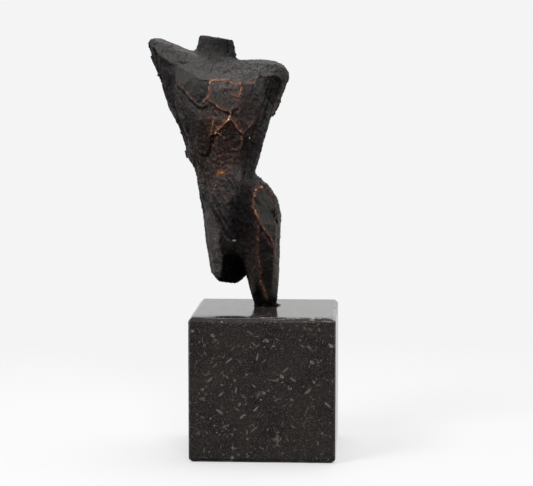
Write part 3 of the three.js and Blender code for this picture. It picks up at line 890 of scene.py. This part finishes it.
def fossil_stone():
    made, nodes, shader = new_material("fossil stone")
    place = nodes.add("ShaderNodeTexCoord", output="Object")
    cloud = nodes.noise(place, 22, 4, 0.6)
    crowd = nodes.noise(place, 16, 3, 0.6, 5.0)
    dust = nodes.noise(place, 0.75, 3, 0.7)
    ground = nodes.blend(cloud.ease(0.35, 0.65), (0.0085, 0.0070, 0.0074), (0.0210, 0.0170, 0.0155))
    ground = nodes.blend(dust.ease(0.48, 0.62) * 0.85, ground, (0.064, 0.054, 0.049))
    bend = nodes.add(
        "ShaderNodeTexNoise", {}, {"Vector": place, "Scale": 1 / (1.6 * MM), "Detail": 2.0}, 1)

    def flecks(size, share, stretch, turn, seed):
        """Fossil fragments: ragged blots in a share of the cells of a grid of the given size."""
        turned = nodes.add("ShaderNodeVectorRotate", {"rotation_type": "EULER_XYZ"},
                           {"Vector": place, "Rotation": turn}, 0)
        warped = nodes.vector("MULTIPLY", turned, stretch)
        warped = nodes.vector("ADD", warped, nodes.scaled(bend, (0.25 * size + 0.5) * MM))
        cell = nodes.add(
            "ShaderNodeTexVoronoi", {"voronoi_dimensions": "4D"},
            {"Vector": warped, "W": seed, "Scale": 1 / (size * MM), "Randomness": 1.0})
        distance, tint = Field(nodes, cell.outputs["Distance"]), Field(nodes, cell.outputs["Color"])
        chance, bulk, glow = nodes.axes(tint)
        blot = 1 - (distance - (0.10 + 0.26 * bulk)).ease(-0.06, 0.06)
        return blot * (chance + crowd * 0.5 - 0.25).ease(1 - share, 1.06 - share) * (0.35 + 0.65 * glow)

    grit = nodes.noise(place, 0.9, 3, 0.6).ease(0.3, 0.7)
    shell = nodes.blend(grit, (0.11, 0.098, 0.088), (0.33, 0.30, 0.26))
    colour = ground
    for size, share, stretch, turn, seed, strength in (
        (1.0, 0.55, (1, 1, 1), (0, 0, 0), 20.0, 0.45),
        (1.7, 0.50, (1, 1, 1.3), (0.4, 0.3, 0.2), 1.0, 0.6),
        (3.2, 0.42, (1, 1.2, 1.5), (0.5, 0.9, 0.4), 4.0, 0.7),
        (5.5, 0.26, (1.0, 1.0, 1.5), (0.3, -0.6, 0.5), 31.0, 0.85),
        (4.4, 0.26, (0.5, 0.6, 1.9), (0.4, 0.7, 0.3), 8.0, 0.75),
        (4.4, 0.22, (0.5, 0.5, 2.1), (0.7, -0.5, 0.9), 12.0, 0.75),
        (4.0, 0.20, (0.5, 0.5, 2.0), (0.2, 1.4, 0.6), 16.0, 0.7),
    ):
        colour = nodes.blend(flecks(size, share, stretch, turn, seed) * strength, colour, shell)
    # Thin broken lines: shells cut across, and hair cracks.
    rings = nodes.add(
        "ShaderNodeTexVoronoi", {"voronoi_dimensions": "4D", "feature": "DISTANCE_TO_EDGE"},
        {"Vector": nodes.vector("ADD", place, nodes.scaled(bend, 2.4 * MM)), "W": 3.0,
         "Scale": 1 / (9 * MM)}, "Distance")
    line = (1 - rings.ease(0.012, 0.035)) * nodes.noise(place, 7, 2, 0.5, 8.0).ease(0.55, 0.66)
    colour = nodes.blend(line * 0.5, colour, shell)
    scuff = nodes.noise(place, 4.0, 4, 0.6)
    height = dust * 0.4 + scuff - line * 1.5
    bump = nodes.add(
        "ShaderNodeBump", {}, {"Strength": 0.4, "Distance": 0.09 * MM, "Height": height}, 0)
    dress(nodes, shader, Base_Color=colour, Roughness=0.13 + scuff.ease(0.5, 0.8) * 0.12, Normal=bump)
    return made


def make_plinth():
    mesh = cut_block(*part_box("plinth"), PLINTH_CHAMFER * MM)
    mesh.materials.append(fossil_stone())
    return show("stone_cube", mesh, "plinth")


# ------------------------------------------------------------------ stage
def make_stage():
    bpy.ops.mesh.primitive_circle_add(vertices=128, radius=0.75, fill_type="NGON")
    floor = bpy.context.object
    floor.name = "floor"
    made, nodes, shader = new_material("pale floor")
    place = nodes.add("ShaderNodeNewGeometry", output="Position")
    edge = nodes.ramp(nodes.vector("LENGTH", place), (0.36, 1.0), (0.745, 0.0), ease="EASE")
    dress(
        nodes, shader, Base_Color=(0.30, 0.30, 0.30), Roughness=0.9,
        Emission_Color=(1, 1, 1), Emission_Strength=0.5, Alpha=edge,
    )
    floor.data.materials.append(made)
    # The table is seen, and shows the contact, but it throws no light up under the figure.
    floor.visible_diffuse = False
    floor.visible_glossy = False


def make_world():
    world = bpy.data.worlds.new("studio")
    bpy.context.scene.world = world
    world.use_nodes = True
    nodes = Nodes(world.node_tree)
    direction = nodes.add("ShaderNodeTexCoord", output="Generated")
    right, back, up = nodes.axes(direction)
    behind = nodes.ramp(back * 0.5 + 0.5, (0.1, 0.17), (0.5, 0.06), (0.92, 0.85), ease="EASE")
    above = nodes.ramp(up, (0.35, 0.0), (0.95, 0.45), ease="EASE")
    beside = right.size().ease(0.72, 0.98) * up.ease(-0.5, 0.1) * 1.5
    lit = nodes.blend(1.0, nodes.blend(1.0, behind, above, "LIGHTEN"), beside, "LIGHTEN")
    seen = nodes.add("ShaderNodeLightPath", output="Is Camera Ray")
    colour = nodes.blend(seen, lit, (0.905, 0.905, 0.91))
    background = world.node_tree.nodes["Background"]
    world.node_tree.links.new(colour.socket, background.inputs["Color"])


def softbox(name, place, size, power):
    data = bpy.data.lights.new(name, "AREA")
    data.size = size
    data.energy = power
    light = bpy.data.objects.new(name, data)
    light.location = place
    light.rotation_euler = (Vector((0, 0, 0.15)) - light.location).to_track_quat("-Z", "Y").to_euler()
    bpy.context.scene.collection.objects.link(light)


def make_camera():
    data = bpy.data.cameras.new("camera")
    data.sensor_width = 36
    data.lens = CAMERA_LENS
    camera = bpy.data.objects.new("camera", data)
    azimuth, elevation = math.radians(CAMERA_ROUND), math.radians(CAMERA_ABOVE)
    back = Vector((
        math.sin(azimuth) * math.cos(elevation),
        -math.cos(azimuth) * math.cos(elevation),
        math.sin(elevation),
    ))
    aside, height = (value * MM for value in CAMERA_AIM)
    target = Vector((aside * math.cos(azimuth), aside * math.sin(azimuth), height))
    camera.location = target + back * CAMERA_AWAY
    camera.rotation_euler = (-back).to_track_quat("-Z", "Y").to_euler()
    bpy.context.scene.collection.objects.link(camera)
    bpy.context.scene.camera = camera


make_torso()
make_plinth()
make_stage()
make_world()
softbox("key softbox", (-0.75, -0.75, 1.2), 0.5, 11)
softbox("front softbox", (0.25, -1.35, 1.0), 0.5, 10)
softbox("top softbox", (0.15, 0.25, 1.5), 0.7, 12)
make_camera()
bpy.context.scene.view_settings.view_transform = "Standard"
